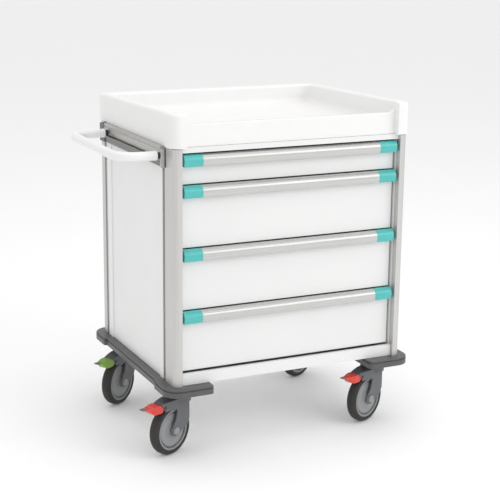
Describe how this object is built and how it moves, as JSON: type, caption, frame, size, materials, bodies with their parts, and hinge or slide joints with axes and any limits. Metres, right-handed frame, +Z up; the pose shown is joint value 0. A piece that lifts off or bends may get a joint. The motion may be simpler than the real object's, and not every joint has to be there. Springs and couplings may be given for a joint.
{
  "type": "instrument cart",
  "caption": "Closed drawer cart on swivel castors with a raised-rim worktop tray, side push handle, slotted corner posts and corner bumpers.",
  "frame": {"origin": "on the floor, under the middle of the whole cart's bounding box", "axes": "+X right along the drawer fronts, +Y towards the back, +Z up; the drawers open towards -Y"},
  "size_m": [0.761, 0.546, 0.829],
  "materials": {
    "cabinet_white": "satin",
    "drawer_white": "satin",
    "drawer_grey": "satin",
    "post_aluminium": "anodised satin",
    "rail_aluminium": "anodised satin",
    "handle_aluminium": "anodised satin",
    "handle_white": "semi-gloss",
    "tray_white": "fine-grained",
    "cap_teal": "moulded",
    "fitting_black": "moulded",
    "bumper_grey": "textured",
    "castor_grey": "moulded",
    "castor_steel": "zinc plated",
    "wheel_grey": "moulded",
    "tyre_grey": "non-marking",
    "pedal_red": "moulded",
    "pedal_green": "moulded",
    "runner_steel": "zinc plated"
  },
  "bodies": {
    "cart": {"base_tray": "cabinet_white", "post_front_left": "post_aluminium", "post_front_right": "post_aluminium", "post_rear_left": "post_aluminium", "post_rear_right": "post_aluminium", "side_panel_left": "cabinet_white", "side_panel_right": "cabinet_white", "back_panel": "cabinet_white", "top_frame": "cabinet_white", "worktop_tray": "tray_white", "accessory_rail": "rail_aluminium", "rail_fittings": "fitting_black", "push_handle": "handle_white", "bumper_left": "bumper_grey", "bumper_right": "bumper_grey", "runner_outer_members": "runner_steel", "castor_stems": "castor_steel"},
    "drawer_1": {"drawer_1_front": "drawer_white", "drawer_1_box": "drawer_grey", "drawer_1_handle": "handle_aluminium", "drawer_1_end_caps": "cap_teal", "drawer_1_runner_inner": "runner_steel"},
    "drawer_1_slides": {"drawer_1_runner_middle": "runner_steel"},
    "drawer_2": {"drawer_2_front": "drawer_white", "drawer_2_box": "drawer_grey", "drawer_2_handle": "handle_aluminium", "drawer_2_end_caps": "cap_teal", "drawer_2_runner_inner": "runner_steel"},
    "drawer_2_slides": {"drawer_2_runner_middle": "runner_steel"},
    "drawer_3": {"drawer_3_front": "drawer_white", "drawer_3_box": "drawer_grey", "drawer_3_handle": "handle_aluminium", "drawer_3_end_caps": "cap_teal", "drawer_3_runner_inner": "runner_steel"},
    "drawer_3_slides": {"drawer_3_runner_middle": "runner_steel"},
    "drawer_4": {"drawer_4_front": "drawer_white", "drawer_4_box": "drawer_grey", "drawer_4_handle": "handle_aluminium", "drawer_4_end_caps": "cap_teal", "drawer_4_runner_inner": "runner_steel"},
    "drawer_4_slides": {"drawer_4_runner_middle": "runner_steel"},
    "castor_front_left": {"castor_front_left_fork": "castor_grey", "castor_front_left_pins": "castor_steel"},
    "castor_front_left_rolling": {"castor_front_left_wheel": "wheel_grey", "castor_front_left_tyre": "tyre_grey"},
    "castor_front_left_brake": {"castor_front_left_pedal": "pedal_red"},
    "castor_front_right": {"castor_front_right_fork": "castor_grey", "castor_front_right_pins": "castor_steel"},
    "castor_front_right_rolling": {"castor_front_right_wheel": "wheel_grey", "castor_front_right_tyre": "tyre_grey"},
    "castor_front_right_brake": {"castor_front_right_pedal": "pedal_red"},
    "castor_rear_left": {"castor_rear_left_fork": "castor_grey", "castor_rear_left_pins": "castor_steel"},
    "castor_rear_left_rolling": {"castor_rear_left_wheel": "wheel_grey", "castor_rear_left_tyre": "tyre_grey"},
    "castor_rear_left_brake": {"castor_rear_left_pedal": "pedal_green"},
    "castor_rear_right": {"castor_rear_right_fork": "castor_grey", "castor_rear_right_pins": "castor_steel"},
    "castor_rear_right_rolling": {"castor_rear_right_wheel": "wheel_grey", "castor_rear_right_tyre": "tyre_grey"}
  },
  "joints": [
    {"name": "drawer_1_pull", "type": "slide", "parent": "cart", "child": "drawer_1", "axis": [0, -1, 0], "range_m": [0, 0.42]},
    {"name": "drawer_1_runner_travel", "type": "slide", "parent": "cart", "child": "drawer_1_slides", "axis": [0, -1, 0], "range_m": [0, 0.21]},
    {"name": "drawer_2_pull", "type": "slide", "parent": "cart", "child": "drawer_2", "axis": [0, -1, 0], "range_m": [0, 0.42]},
    {"name": "drawer_2_runner_travel", "type": "slide", "parent": "cart", "child": "drawer_2_slides", "axis": [0, -1, 0], "range_m": [0, 0.21]},
    {"name": "drawer_3_pull", "type": "slide", "parent": "cart", "child": "drawer_3", "axis": [0, -1, 0], "range_m": [0, 0.42]},
    {"name": "drawer_3_runner_travel", "type": "slide", "parent": "cart", "child": "drawer_3_slides", "axis": [0, -1, 0], "range_m": [0, 0.21]},
    {"name": "drawer_4_pull", "type": "slide", "parent": "cart", "child": "drawer_4", "axis": [0, -1, 0], "range_m": [0, 0.42]},
    {"name": "drawer_4_runner_travel", "type": "slide", "parent": "cart", "child": "drawer_4_slides", "axis": [0, -1, 0], "range_m": [0, 0.21]},
    {"name": "castor_front_left_swivel", "type": "hinge", "parent": "cart", "child": "castor_front_left", "pos_m": [-0.2235, -0.188, 0.15], "axis": [0, 0, 1], "continuous": true},
    {"name": "castor_front_left_roll", "type": "hinge", "parent": "castor_front_left", "child": "castor_front_left_rolling", "pos_m": [-0.25485, -0.20356, 0.0625], "axis": [0.4446, -0.8957, 0], "continuous": true},
    {"name": "castor_front_left_brake_press", "type": "hinge", "parent": "castor_front_left", "child": "castor_front_left_brake", "pos_m": [-0.28235, -0.21721, 0.1284], "axis": [0.4446, -0.8957, 0], "range_deg": [0, 10]},
    {"name": "castor_front_right_swivel", "type": "hinge", "parent": "cart", "child": "castor_front_right", "pos_m": [0.3185, -0.188, 0.15], "axis": [0, 0, 1], "continuous": true},
    {"name": "castor_front_right_roll", "type": "hinge", "parent": "castor_front_right", "child": "castor_front_right_rolling", "pos_m": [0.28655, -0.20229, 0.0625], "axis": [0.4083, -0.9128, 0], "continuous": true},
    {"name": "castor_front_right_brake_press", "type": "hinge", "parent": "castor_front_right", "child": "castor_front_right_brake", "pos_m": [0.25853, -0.21483, 0.1284], "axis": [0.4083, -0.9128, 0], "range_deg": [0, 10]},
    {"name": "castor_rear_left_swivel", "type": "hinge", "parent": "cart", "child": "castor_rear_left", "pos_m": [-0.2235, 0.188, 0.15], "axis": [0, 0, 1], "continuous": true},
    {"name": "castor_rear_left_roll", "type": "hinge", "parent": "castor_rear_left", "child": "castor_rear_left_rolling", "pos_m": [-0.25192, 0.16758, 0.0625], "axis": [0.5835, -0.8121, 0], "continuous": true},
    {"name": "castor_rear_left_brake_press", "type": "hinge", "parent": "castor_rear_left", "child": "castor_rear_left_brake", "pos_m": [-0.27685, 0.14966, 0.1284], "axis": [0.5835, -0.8121, 0], "range_deg": [0, 10]},
    {"name": "castor_rear_right_swivel", "type": "hinge", "parent": "cart", "child": "castor_rear_right", "pos_m": [0.3185, 0.188, 0.15], "axis": [0, 0, 1], "continuous": true},
    {"name": "castor_rear_right_roll", "type": "hinge", "parent": "castor_rear_right", "child": "castor_rear_right_rolling", "pos_m": [0.28704, 0.17266, 0.0625], "axis": [0.4384, -0.8988, 0], "continuous": true}
  ],
  "couplings": [
    {"joint": "drawer_1_runner_travel", "follows": "drawer_1_pull", "ratio": 0.5},
    {"joint": "drawer_2_runner_travel", "follows": "drawer_2_pull", "ratio": 0.5},
    {"joint": "drawer_3_runner_travel", "follows": "drawer_3_pull", "ratio": 0.5},
    {"joint": "drawer_4_runner_travel", "follows": "drawer_4_pull", "ratio": 0.5}
  ]
}
